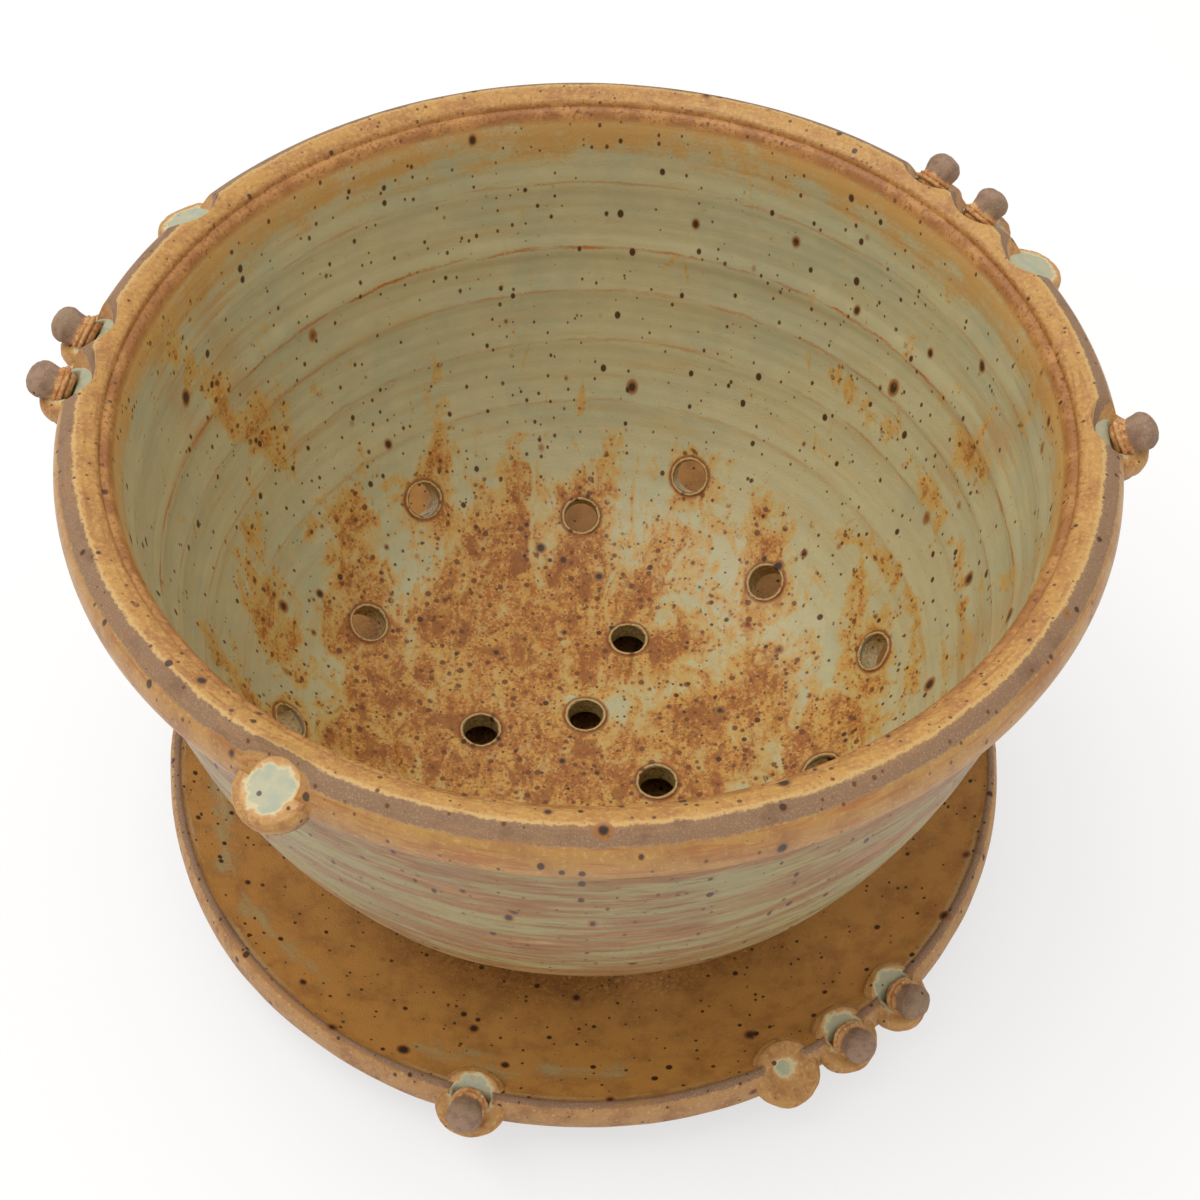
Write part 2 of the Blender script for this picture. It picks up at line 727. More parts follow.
# %% Master pad and its collar
pad_sides = 64
bpy.ops.object.select_all(action="DESELECT")
middle = (0, 0, -pad_h / 2)
bpy.ops.mesh.primitive_cylinder_add(vertices=pad_sides, radius=pad_r, depth=pad_h, location=middle)
pad_master = bpy.context.object
pad_master.name = "pad_master"
for face in pad_master.data.polygons:
    face.select = face.normal.z > 0.9
bpy.ops.object.mode_set(mode="EDIT")
bpy.ops.mesh.select_mode(type="FACE")
ring_steps = [(0.35, 0.1), (0.5, 0), (0.5, -0.35), (0.35, -0.35), (0.9, -0.2), (1.4, -0.1)]
for width, rise in ring_steps:
    bpy.ops.mesh.inset(thickness=width * pad_edge_w, depth=0)
    bpy.ops.transform.translate(value=(0, 0, rise * pad_hollow))
bpy.ops.object.mode_set(mode="OBJECT")
print("pad master:", len(pad_master.data.polygons), "faces")

# %% [markdown]
# ### Collars
# The clay of a pad swells down over the rim in a collar, wider on the saucer than on the bowl. It
# is turned from a small outline of its own. A pad's glaze lies by the pad and not by the pot, so
# a second helper stores each point's place in the piece's own frame.

# %% Collars
collar_shares = [(0, 0.95), (0.35, 0.8), (0.75, 0.38)]


def collar_line(collar):
    """Outline of the swelling under a pad, in the pad's own frame."""
    line = [(pad_r * s, -pad_h - pad_r * v) for s, v in collar_shares]
    side = pad_r + collar
    line += [(side, -pad_h + pad_edge_w / 2), (side, -collar_drop - collar / 2)]
    line += [(pad_r + collar * 0.6, -collar_drop)]
    return line + [(pad_r - pad_edge_w / 2, -collar_drop + collar / 3), (0, -collar_drop)]


def keep_own_place(thing, frame_of):
    """Stores where each point lies in the piece's own frame, in mm, for the material to read."""
    own = thing.data.attributes.new("own_place", "FLOAT_VECTOR", "POINT")
    back = np.array(frame_of.inverted())
    local = (places(thing) @ back[:3, :3].T + back[:3, 3]) * mm
    own.data.foreach_set("vector", local.ravel())
    return local


collars = {size: turned("collar", collar_line(size), 48) for size in (pad_collar, saucer_collar)}
print("collars of", [round(size * mm, 1) for size in collars], "mm")

# %% [markdown]
# ### Twelve pressed pads
# A pad and its collar are one lump on the real pot, so the two are joined. A punch of the peg's
# size opens its seat. The voxel remesh makes one skin of it all, smoothing rounds it as wet slip
# does, and a cloud dents every copy differently, because each lies at another place in the
# pattern.

# %% Twelve pressed pads
fuse_voxel = 0.00034
seat_sizes = {"radius": stem_r + seat_gap, "depth": peg_l}
pads, pad_own = {}, {}
random.seed(12)
for name, body, spot, lean, out, size in pad_list:
    pad = copy_of(pad_master, name + "_clay")
    skirt = copy_of(collars[size], "skirt")
    only(pad)
    skirt.select_set(True)
    bpy.ops.object.join()
    shaped(pad, "REMESH", mode="VOXEL", voxel_size=fuse_voxel)
    if lean is not None:
        bpy.ops.object.select_all(action="DESELECT")
        bpy.ops.mesh.primitive_cylinder_add(vertices=32, location=(0, 0, peg_l / 2), **seat_sizes)
        seat = bpy.context.object
        seat.data.transform(on_seat(lean, out))
        cut_away(pad, [seat])
        shaped(pad, "REMESH", mode="VOXEL", voxel_size=fuse_voxel)
    shaped(pad, "SMOOTH", factor=0.5, iterations=3)
    wide, deep = 1 + random.uniform(-0.03, 0.02), 1 + random.uniform(-0.02, 0.03)
    pad.data.transform(spot @ Matrix.Diagonal((wide, deep, 1, 1)))
    pressed(pad, "thumb_dents", depth=0.0005, grain=0.005)
    pressed(pad, "grit", depth=0.00012, grain=0.0012)
    pad_own[name] = keep_own_place(pad, spot)
    bpy.ops.object.shade_smooth()
    pads[name] = pad
for thing in list(collars.values()) + [pad_master]:
    bpy.data.objects.remove(thing)
print("pads:", len(pads), "faces:", sum(len(p.data.polygons) for p in pads.values()))

# %% [markdown]
# ## Ridged pegs
# A peg is a short roll of clay: the thumb and finger that pressed it in left three rough coils
# round its stem and a smooth domed head. One outline is turned, and each of the eight copies is
# leant into its own pad, torn a little along the coils, and dented.

# %% Ridged pegs
coil_steps = 10
dome_steps = 16
head_flare = 0.9
dome_share = 0.8
dome_power = 0.92
stem_start = peg_stem_l / 8
coil_l = (peg_stem_l - stem_start) / len(coil_shares)
peg_line = [(0, 0), (stem_r * 0.45, 0), (stem_r * 0.66, peg_stem_l / 30)]
for i, share in enumerate(coil_shares):
    for k in range(1, coil_steps + 1):
        wave = abs(math.sin(math.pi * k / coil_steps)) ** 0.5
        coil_z = stem_start + coil_l * (i + k / coil_steps)
        peg_line.append((stem_r * share - peg_groove * (1 - wave), coil_z))
dome_h = peg_r * dome_share
neck_z, dome_z = peg_stem_l + peg_groove, peg_l - dome_h
peg_line.append((peg_r * head_flare, peg_stem_l + peg_groove * 0.2))
for s in (0, 0.25, 0.5, 0.75):
    peg_line.append((peg_r * (head_flare + (1 - head_flare) * s), neck_z + (dome_z - neck_z) * s))
for k in range(dome_steps + 1):
    angle = math.radians(90 * k / dome_steps)
    dome_r = peg_r * math.cos(angle) ** dome_power if k < dome_steps else 0
    peg_line.append((dome_r, dome_z + dome_h * math.sin(angle)))
peg_master = turned("peg_master", peg_line, 64)

pegs = {}
for name, body, spot, lean, out, size in pad_list:
    if lean is None:
        continue
    peg_name = name.replace("pad", "peg")
    peg = copy_of(peg_master, peg_name + "_clay")
    place = spot @ on_seat(lean, out) @ Matrix.Rotation(random.uniform(0, 2 * math.pi), 4, "Z")
    peg.data.transform(place)
    pressed(peg, "rolled_dents", depth=0.0004, grain=0.004)
    pressed(peg, "torn_clay", depth=0.0002, grain=0.0009)
    keep_own_place(peg, place)
    bpy.ops.object.shade_smooth()
    pegs[peg_name] = peg
bpy.data.objects.remove(peg_master)
print("pegs:", len(pegs))

# %% [markdown]
# ## Where the glaze went
# The potter poured a celadon glaze over an iron wash, and in the kiln the wash burned through in
# flames round the drain holes and over the floor. To paint that, every point of the skin learns
# how far along the outline it lies, in mm from the middle of the floor.

# %% Distance along the outline
chart_step_mm = 0.2
batch = 4000
band_end_share = 0.98


def line_lengths(line):
    """Distance along a line at each of its points, in mm."""
    line = np.array(line)
    return np.concatenate([[0], np.cumsum(np.hypot(*np.diff(line, axis=0).T))]) * mm


def length_at(line, spot):
    """Distance along a line of its point nearest to a spot."""
    gaps = np.hypot(*(np.array(line) - np.array(spot)).T)
    return float(line_lengths(line)[gaps.argmin()])


def nearest_lengths(co, line):
    """Distance along a line for each point of a skin turned from it."""
    lengths = line_lengths(line)
    steps = np.arange(0, lengths[-1], chart_step_mm)
    line = np.array(line)
    fine = np.stack([np.interp(steps, lengths, line[:, i]) for i in (0, 1)], 1)
    flat = np.stack([np.hypot(co[:, 0], co[:, 1]), co[:, 2]], 1)
    result = np.empty(len(co))
    for k in range(0, len(co), batch):
        part = flat[k : k + batch]
        gaps = np.subtract.outer(part[:, 0], fine[:, 0]) ** 2
        gaps += np.subtract.outer(part[:, 1], fine[:, 1]) ** 2
        result[k : k + batch] = steps[gaps.argmin(1)]
    return result


bowl_co = places(bowl_skin)
bowl_along = nearest_lengths(bowl_co, bowl_outline)
saucer_co = places(saucer_skin)
saucer_along = nearest_lengths(saucer_co, saucer_outline)
lip_end = length_at(bowl_outline, (rim_r - bevel_w, ridge_z))
bevel_end = length_at(bowl_outline, (rim_r, edge_z))
band_end = length_at(bowl_outline, (rim_r, edge_z - band_end_share * band_h))
foot_start = length_at(bowl_outline, (foot_r, foot_z + 2 * foot_edge))
stops = {"lip": lip_end, "bevel": bevel_end, "band": band_end, "foot": foot_start}
print("mm along the outline:", {name: round(far, 1) for name, far in stops.items()})

# %% [markdown]
# ### A brush
# Azimuth and distance make a map of the pot, seen from straight above with the wall folded flat.
# Strokes are laid by hand in that map. Each is a tapering line from one spot to another, and the
# shader breaks its edge up later.

# %% A brush
def stroke_field(co, along, strokes, softness):
    """0 to 1 over the skin: a half on the edge of a stroke, 1 well inside one."""
    az = np.arctan2(co[:, 1], co[:, 0])
    chart = np.stack([np.cos(az), np.sin(az)], 1) * along[:, None]
    field = np.zeros(len(co))
    for az0, far0, az1, far1, width0, width1 in strokes:
        a = far0 * np.array([math.cos(math.radians(az0)), math.sin(math.radians(az0))])
        b = far1 * np.array([math.cos(math.radians(az1)), math.sin(math.radians(az1))])
        t = np.clip((chart - a) @ (b - a) / ((b - a) @ (b - a)), 0, 1)
        gap = np.hypot(*(chart - a - t[:, None] * (b - a)).T)
        field = np.maximum(field, 0.5 + (width0 + (width1 - width0) * t - gap) / softness)
    return np.clip(field, 0, 1)


def store(thing, name, values):
    """Gives each point of a form a number that its material can read by name."""
    layer = thing.data.attributes.new(name, "FLOAT", "POINT")
    layer.data.foreach_set("value", np.ascontiguousarray(values, dtype=np.float32))


store(bowl_skin, "along", bowl_along)
store(saucer_skin, "along", saucer_along)
print("distances stored on", len(bowl_along) + len(saucer_along), "points")

# %% [markdown]
# ### Strokes of rust
# A stroke is a row of six numbers: azimuth and distance where it starts, the same where it ends,
# and half its width at either end. The first rows lick up the far wall, the next ones fill the
# floor, and the last are the lone flames higher up. Every drain hole also gets a halo of rust,
# because the glaze broke on its edge.

# %% Strokes of rust
flames = [
    (127, 66, 120.5, 83.5, 7, 4),
    (120.5, 83.5, 116, 103, 4, 0.4),
    (161, 54, 149, 68, 9, 7),
    (149, 68, 138, 84, 7, 2.5),
    (177, 73, 167, 88, 7, 8),
    (167, 88, 158, 103, 7, 1.5),
    (153, 81.6, 131, 78, 2.4, 1.2),
    (140, 20, 118, 46, 12, 10),
    (118, 46, 108, 62, 9, 7),
    (108, 62, 105, 76, 6, 1.5),
    (148, 38, 124, 51, 9, 6),
    (124, 51, 114, 66, 5, 1.5),
    (103, 30, 91, 54, 9, 5),
    (91, 54, 85.5, 77, 4, 1),
    (80, 18, 71, 38, 8, 4.5),
    (71, 38, 67.5, 54, 4, 1.2),
    (34, 52, 44, 60, 5, 4.5),
    (44, 60, 50, 71, 4, 2),
    (31, 78, 20, 83, 1, 2),
    (20, 83, 10, 84.5, 2, 2.5),
    (10, 84.5, 353, 80, 2.5, 2),
    (7, 63, 24, 75, 3, 1.2),
    (342, 55, 358, 62, 10, 8),
    (339, 96, 358, 91, 1, 0.6),
    (180, 42, 215, 22, 14, 15),
    (215, 22, 300, 22, 16, 16),
    (300, 22, 346, 28, 16, 13),
    (346, 28, 12, 42, 9, 7),
    (78, 14, 46, 30, 8, 6),
    (190, 50, 205, 76, 10, 4),
    (225, 46, 232, 92, 12, 3),
    (258, 46, 262, 78, 12, 4),
    (290, 48, 297, 98, 11, 2),
    (318, 46, 322, 84, 10, 3),
    (52, 112, 25, 106, 1, 2.6),
    (25, 106, 8, 104, 2.6, 2.6),
    (8, 104, 350, 100, 2.6, 1),
    (30, 124, 12, 122, 1, 2),
    (163, 146, 157, 118, 2.5, 5),
    (157, 118, 150, 98, 5, 3),
    (188, 96, 196, 74, 2, 5),
    (172, 104, 168, 92, 1, 4),
]
halo_w = 6.4
for ring_r, azimuths in drain_rings:
    share = ring_r / inner_r
    far = length_at(inside, (ring_r, wall_top_z - inner_depth * belly_depth(share)))
    flames += [(az - 1, far, az + 1, far + 1, halo_w, halo_w) for az in azimuths]

# Where the wash already covers the floor, the strokes are held back a little
hold_back = np.interp(bowl_along, (45, 75), (0.76, 1)) * (bowl_along < lip_end)
store(bowl_skin, "rust", stroke_field(bowl_co, bowl_along, flames, softness=8) * hold_back)
print("strokes of rust and halos:", len(flames))

# %% [markdown]
# ### Round the holes
# Glaze draws back from the edge of a hole and leaves rings. To draw them, each point learns how
# far it lies from the axis of the nearest hole, because the holes are tilted with the wall.

# %% Round the holes
# Points far along a hole's axis, on the other side of the bowl, don't count as near it
far_away = 1.0
from_hole = np.full(len(bowl_co), far_away)
for frame_of in drain_frames:
    offset = bowl_co - np.array(frame_of.translation)
    axis = np.array(frame_of.col[2][:3])
    sideways = offset - np.outer(offset @ axis, axis)
    beside = far_away * (np.abs(offset @ axis) > 3 * wall_t)
    from_hole = np.minimum(from_hole, np.linalg.norm(sideways, axis=1) + beside)
store(bowl_skin, "hole", from_hole * mm)
print("points within 1 mm of a hole:", int((from_hole < drain_r + 0.001).sum()))

# %% [markdown]
# ### Blushes, and celadon on the saucer
# The blushes are wide and soft, and stain the upper wall where the glaze ran thin. On the saucer
# it is the other way round: rust covers it, and a few strokes of celadon show through along the
# slope.

# %% Blushes, and celadon on the saucer
blushes = [
    (150, 108, 156, 150, 6, 7),
    (163, 118, 168, 150, 2, 6),
    (20, 112, 8, 150, 4, 8),
    (352, 100, 345, 150, 5, 9),
    (210, 110, 214, 150, 6, 8),
    (262, 120, 268, 150, 4, 9),
    (310, 100, 306, 150, 5, 8),
]
blush = stroke_field(bowl_co, bowl_along, blushes, softness=26) * (bowl_along < lip_end)
store(bowl_skin, "blush", blush)

saucer_slope = saucer_flat_r * mm
saucer_lip_end = length_at(saucer_outline, (saucer_in_r, saucer_edge_z))
saucer_bevel_end = length_at(saucer_outline, (saucer_edge_r, saucer_edge_z))
saucer_band_z = saucer_edge_z - band_end_share * saucer_band_h
saucer_band_end = length_at(saucer_outline, (saucer_edge_r, saucer_band_z))
celadon_strokes = [
    (247, 86, 262, 86, 2.4, 2),
    (262, 84, 276, 83, 1.6, 2.6),
    (214, 88, 232, 84, 3.2, 2.2),
    (188, 84, 206, 88, 2.6, 3.2),
    (284, 80, 292, 79, 1, 0.6),
]
store(saucer_skin, "celadon", stroke_field(saucer_co, saucer_along, celadon_strokes, softness=7))
print(len(blushes), "blushes and", len(celadon_strokes), "strokes of celadon")

# %% [markdown]
# ## Finishes
# Every finish is a material with one shader, and all of them share the same clouds, so that they
# look fired together. Scales are per mm: 0.16 means that the pattern's grains are 1 / 0.16, or
# about 6 mm, across.

# %% A new finish and its clouds
NOISE, VORONOI, RANGE = "ShaderNodeTexNoise", "ShaderNodeTexVoronoi", "ShaderNodeMapRange"
MATH, VECTOR, MIX = "ShaderNodeMath", "ShaderNodeVectorMath", "ShaderNodeMix"
STORED = "ShaderNodeAttribute"
SOFT = "SMOOTHSTEP"


def new_finish(name, **fixed):
    """A material with one shader, whose plain numbers are set on its own sockets."""
    finish = bpy.data.materials.new(name)
    finish.use_nodes = True
    shader = finish.node_tree.nodes["Principled BSDF"]
    for socket, value in fixed.items():
        shader.inputs[socket.replace("_", " ")].default_value = value
    return finish, finish.node_tree


def clouds(tree):
    """The place in mm, and noise of four grain sizes: 30, 6, 0.8 and 0.3 mm."""
    metres = node_in(tree, "ShaderNodeTexCoord", out="Object")
    place = node_in(tree, VECTOR, {0: metres, "Scale": mm}, operation="SCALE")
    noises = []
    for scale, detail in ((0.035, 3), (0.16, 5), (1.25, 4), (3.2, 2)):
        inputs = {"Vector": place, "Scale": scale, "Detail": detail, "Roughness": 0.62}
        noises.append(node_in(tree, NOISE, inputs, out="Fac"))
    return place, *noises


print("finishes are drawn on a place in mm:", mm, "to the metre")

# %% [markdown]
# ### Coats and relief
# Glaze is laid in coats, as it was on the pot: a base colour, then one tint over another, each
# through its own mask. The last tool joins the colour, the roughness and a fine relief to the
# shader.

# %% Coats and relief
def coats(tree, base, layers):
    """Lays tints, hex colours or colour outputs, over a base colour. A layer is a mask and a tint,
    or a pattern, the values where its coat begins and is full, its strength and a tint."""
    colour = base
    for mask, *fade, tint in layers:
        if fade:
            begins, full, strength = fade
            inputs = {0: mask, 1: begins, 2: full, 4: strength}
            mask = node_in(tree, RANGE, inputs, interpolation_type=SOFT)
        over = paint(tint) if isinstance(tint, str) else tint
        under = paint(colour) if isinstance(colour, str) else colour
        colour = node_in(tree, MIX, {0: mask, 6: under, 7: over}, out=2, data_type="RGBA")
    return colour


def wear(tree, colour, roughness, relief, depth_mm):
    """Joins colour, roughness and a relief of a given real depth to the finish's shader."""
    shader = tree.nodes["Principled BSDF"]
    inputs = {"Height": relief, "Distance": depth_mm / mm, "Strength": 1}
    bump = node_in(tree, "ShaderNodeBump", inputs)
    tree.links.new(colour, shader.inputs["Base Color"])
    tree.links.new(roughness, shader.inputs["Roughness"])
    tree.links.new(bump, shader.inputs["Normal"])


print("tints are mixed by", MIX)

# %% [markdown]
# ### Ragged edges and streaks
# Glaze ends in ragged edges, and streaks run round the wheel. Each tool below draws one of these
# from a few nodes, at a size in mm.

# %% Ragged edges and streaks
zone_edge_mm = 0.25


def weighed(tree, total, *parts):
    """Adds patterns to a number, each times a weight of its own."""
    for pattern, weight in parts:
        inputs = {0: pattern, 1: weight, 2: total}
        total = node_in(tree, MATH, inputs, operation="MULTIPLY_ADD")
    return total


def ragged(tree, distance, noise, reach):
    """A distance in mm that wavers by a reach, so that what ends there ends unevenly."""
    moved = weighed(tree, distance, (noise, reach))
    return node_in(tree, MATH, {0: moved, 1: reach / 2}, operation="SUBTRACT")


def round_wheel(tree, place, along, slowness):
    """A place that runs slowly round the pot and quickly along its outline, for streaks."""
    slow = node_in(tree, VECTOR, {0: place, 1: (slowness, slowness, 0)}, operation="MULTIPLY")
    quick = node_in(tree, "ShaderNodeCombineXYZ", {"Z": along})
    return node_in(tree, VECTOR, {0: slow, 1: quick}, operation="ADD")


def zone(tree, distance, start, end, edge=zone_edge_mm):
    """1 between two distances and 0 outside them."""
    first = {0: distance, 1: start - edge, 2: start + edge}
    last = {0: distance, 1: end - edge, 2: end + edge, 3: 1, 4: 0}
    into = node_in(tree, RANGE, first, interpolation_type=SOFT)
    out_of = node_in(tree, RANGE, last, interpolation_type=SOFT)
    return node_in(tree, MATH, {0: into, 1: out_of}, operation="MULTIPLY")


print("zones blend into each other over", 2 * zone_edge_mm, "mm")

# %% [markdown]
# ### Crystals and specks
# Rust grows as crystals, and iron melts out of the clay as specks. Both come from a Voronoi
# pattern: its cells are the crystals, and a dot in the middle of some cells is a speck.

# %% Crystals and specks
def crystals(tree, place, scale):
    """A number from 0 to 1 that jumps from one crystal to the next."""
    colour = node_in(tree, VORONOI, {"Vector": place, "Scale": scale}, out="Color")
    return node_in(tree, "ShaderNodeSeparateColor", {0: colour}, out=0)


def specks(tree, place, cell_mm, size_mm, share, seed):
    """Round iron specks up to a size: one chance in every cell. Gives 1 on a speck."""
    spot = node_in(tree, VECTOR, {0: place, 1: (seed, seed * 2, seed * 3)}, operation="ADD")
    inputs = {"Vector": spot, "Scale": 1 / cell_mm, "Randomness": 1}
    gap = node_in(tree, VORONOI, inputs, out="Distance")
    colour = node_in(tree, VORONOI, inputs, out="Color")
    luck = node_in(tree, "ShaderNodeSeparateColor", {0: colour}, out=0)
    size = node_in(tree, RANGE, {0: luck, 1: 1 - share, 2: 1, 4: size_mm / cell_mm / 2})
    near = node_in(tree, MATH, {0: size, 1: gap}, operation="SUBTRACT")
    inputs = {0: near, 1: 0, 2: size_mm / cell_mm / 6}
    return node_in(tree, RANGE, inputs, interpolation_type=SOFT)


print("crystals and specks are drawn by", VORONOI)

# %% [markdown]
# ### Celadon and iron on the bowl
# Stoneware fired in reduction: a satin celadon, thick and grey-green where it pooled, thin and
# ochre over ridges and the lip, burnt to granular rust where the iron wash came through, and
# freckled by iron in the clay. The bevel of the rim and the foot were wiped bare. One material
# holds all of it, because each coat fades into the next with a ragged edge.

# %% Patterns of the bowl
bowl_glaze, tree = new_finish("celadon_over_iron_stoneware", IOR=1.5)
place, broad, patchy, grain, grit = clouds(tree)
along = node_in(tree, STORED, out="Fac", attribute_name="along")
rust = node_in(tree, STORED, out="Fac", attribute_name="rust")
blush = node_in(tree, STORED, out="Fac", attribute_name="blush")
edge_along = ragged(tree, ragged(tree, along, grain, 1.4), patchy, 1.3)

# Streaks run round the wheel, 3, 1 and 4 mm apart
turning = round_wheel(tree, place, along, 0.09)
streak, fine_streak, outer_streak = [
    node_in(tree, NOISE, {"Vector": turning, "Scale": s, "Detail": d, "Roughness": r}, out="Fac")
    for s, d, r in ((0.33, 4, 0.6), (1.1, 3, 0.6), (0.26, 5, 0.66))
]

# Flames: the hand-laid strokes, torn at their edges by the grain, by wisps 5 mm wide and 13 mm
# tall and by tears of 6 to 15 mm. The wash under them thins from 40 to 92 mm along the outline.
wisp_place = node_in(tree, VECTOR, {0: place, 1: (0.2, 0.2, 0.075)}, operation="MULTIPLY")
wisp_inputs = {"Vector": wisp_place, "Scale": 1, "Detail": 6, "Roughness": 0.66, "Distortion": 0.5}
wisp = node_in(tree, NOISE, wisp_inputs, out="Fac")
torn_place = node_in(tree, VECTOR, {0: place, 1: (0.5, 0.24, 0.2)}, operation="MULTIPLY")
torn_inputs = {"Vector": torn_place, "Scale": 0.34, "Detail": 6, "Roughness": 0.64}
torn_inputs["Distortion"] = 1.6
torn = node_in(tree, NOISE, torn_inputs, out="Fac")
wash_inputs = {0: along, 1: 92, 2: 40, 3: -1.94, 4: -1.14}
floor_wash = node_in(tree, RANGE, wash_inputs, interpolation_type=SOFT)
flame = weighed(tree, rust, (wisp, 2), (grain, 0.7), (torn, 3.4), (blush, 0.6), (floor_wash, 1))
veil = node_in(tree, RANGE, {0: flame, 1: 1.55, 2: 2.05, 4: 0.9}, interpolation_type=SOFT)
burnt = node_in(tree, RANGE, {0: flame, 1: 1.95, 2: 2.6, 4: 0.95}, interpolation_type=SOFT)

inside_z = [p[1] for p in inside]
crests = [float(np.interp(edge_z - d, inside_z, line_lengths(inside))) for d in ridge_depths]
print("ridge crests at", [round(c, 1) for c in crests], "mm along")

# %% [markdown]
# ### Rust and celadon inside the bowl
# Rust isn't one colour: it is ochre, brown and nearly black crystals side by side. The celadon is
# cool where it lies thick and ochre where a ridge or the lip thinned it. The flames go over it in
# three coats, from a thin veil to scorched rust.

# %% Rust and celadon inside the bowl
# Rust's own grain: light ochre, rust and nearly black crystals of half a millimetre
crystal = crystals(tree, place, 1.9)
rust_colour = coats(tree, "#B3722E", [
    (patchy, 0.44, 0.64, 1, "#C99545"),
    (streak, 0.5, 0.66, 0.7, "#9A5722"),
    (crystal, 0.66, 0.95, 0.55, "#DDAA60"),
    (crystal, 0.3, 0.05, 0.6, "#6A421F"),
])

# Celadon: cooler where thick, ochre where thin on ridges and towards the lip
ochre_from, ochre_full = lip_end - 27, lip_end - 9
climb = {0: edge_along, 1: ochre_from, 2: ochre_full}
near_lip = node_in(tree, RANGE, climb, interpolation_type=SOFT)
near_lip = weighed(tree, near_lip, (streak, 1.2), (patchy, 1.4), (grain, 0.8))
blushed = weighed(tree, blush, (streak, 1.6))
inner_layers = [
    (broad, 0.4, 0.62, 0.7, "#AEAE8C"),
    (patchy, 0.42, 0.72, 0.5, "#C6BE90"),
    (streak, 0.5, 0.68, 0.4, "#BC9E66"),
    (near_lip, 2.1, 2.8, 0.85, "#C4934C"),
]
crest_mm = 0.7
for far, strength in zip(crests, ridge_strengths):
    thin = zone(tree, edge_along, far - crest_mm, far + crest_mm, 0.9)
    thin = node_in(tree, MATH, {0: thin, 1: fine_streak}, operation="MULTIPLY")
    inner_layers.append((thin, 0.28, 0.62, strength, "#B46A26"))
inner_layers += [
    (blushed, 1.0, 1.8, 0.45, "#B57A38"),
    (veil, "#C6A056"),
    (burnt, rust_colour),
    (flame, 2.6, 3.1, 0.75, "#8A4E20"),
]
inside_colour = coats(tree, "#BDB48C", inner_layers)
print("coats inside the bowl:", len(inner_layers))

# %% [markdown]
# ### Lip, bare clay and outside
# The lip is ochre over iron, mottled, with a darker inner roll where the glaze is thinnest. The
# bevel and the foot are bare stoneware. Outside, the potter's fingers left bands, in which
# celadon and a pinkish rust take turns, under an ochre band.

# %% Lip, bare clay and outside
# Lip: ochre over iron, with a thin burnt line along its inner roll
lip_colour = coats(tree, "#BA8A44", [
    (patchy, 0.4, 0.66, 0.85, "#A26B36"),
    (grain, 0.5, 0.66, 0.6, "#CBA05A"),
    (grain, 0.44, 0.3, 0.7, "#8F5C30"),
    (fine_streak, 0.56, 0.7, 0.6, "#8E5B2A"),
])

# Inner roll of the lip: darker, because the glaze is thinnest over it
roll_colour = coats(tree, "#9C642C", [
    (patchy, 0.42, 0.62, 1, "#B98344"),
    (grain, 0.5, 0.35, 0.8, "#7E4A20"),
])

# Bare bevel and foot: mauve-brown stoneware with pale grog
bare_colour = coats(tree, "#8A6A4E", [
    (grit, 0.5, 0.7, 0.7, "#A68A6C"),
    (patchy, 0.5, 0.7, 0.7, "#75563F"),
    (streak, 0.55, 0.7, 0.5, "#A9794A"),
])

# Outside: bands of celadon and pinkish rust that the fingers left
outside_colour = coats(tree, "#9C8C5A", [
    (broad, 0.4, 0.62, 0.7, "#968C62"),
    (outer_streak, 0.43, 0.57, 1, "#926438"),
    (outer_streak, 0.58, 0.66, 0.8, "#AE804A"),
    (fine_streak, 0.54, 0.68, 0.75, "#7A4B22"),
    (fine_streak, 0.42, 0.3, 0.4, "#B2A572"),
])
band_colour = coats(tree, "#B28240", [
    (patchy, 0.42, 0.7, 1, "#9C6B38"),
    (grain, 0.5, 0.75, 0.7, "#C69E64"),
    (fine_streak, 0.52, 0.64, 0.7, "#A3612A"),
])
print("colours of the bowl's zones are mixed")

# %% [markdown]
# ### Zones of the bowl
# The colours are laid over each other by how far along the outline they lie, each ending in a
# ragged edge. Last come the pale rings of thin glaze round the drain holes, with a burnt line
# round each, and the darker clay inside.

# %% Zones of the bowl
# The zones, in the order in which they cover each other
past_all = 300
whole_glaze = coats(tree, inside_colour, [
    (zone(tree, edge_along, lip_end - 7.5, lip_end, 1.6), lip_colour),
    (zone(tree, edge_along, lip_end - 8.6, lip_end - 4.4, 1.1), roll_colour),
    (zone(tree, edge_along, lip_end - 0.5, lip_end), "#C49E5E"),
    (zone(tree, edge_along, bevel_end, foot_start + past_all), outside_colour),
    (zone(tree, edge_along, bevel_end, band_end - 2, 0.8), band_colour),
    (zone(tree, edge_along, band_end - 0.4, band_end + 1.4, 0.5), "#6E4B2B"),
    (zone(tree, edge_along, lip_end, bevel_end), bare_colour),
    (zone(tree, edge_along, foot_start, foot_start + past_all), bare_colour),
])

# Rings of the holes, from outside in
hole_edge = ragged(tree, node_in(tree, STORED, out="Fac", attribute_name="hole"), grain, 0.9)
bore = drain_r * mm
whole_glaze = coats(tree, whole_glaze, [
    (zone(tree, hole_edge, bore + 0.2, bore + 1.1, 0.4), "#8A5526"),
    (zone(tree, hole_edge, bore - 0.2, bore + 0.35, 0.2), "#C4A468"),
    (zone(tree, hole_edge, -1, bore - 0.05, 0.15), "#7C6B48"),
])
print("coats of colour on the bowl:", sum(node.bl_idname == MIX for node in tree.nodes))

# %% [markdown]
# ### Freckles and sheen of the bowl
# Iron melts out of the clay as freckles, which the glaze drew downwards as it ran. Each kind of
# speck has a cell, in which it may lie, and a size. The glaze is satin, rougher where rust broke
# through, and the bare bevel is matt.

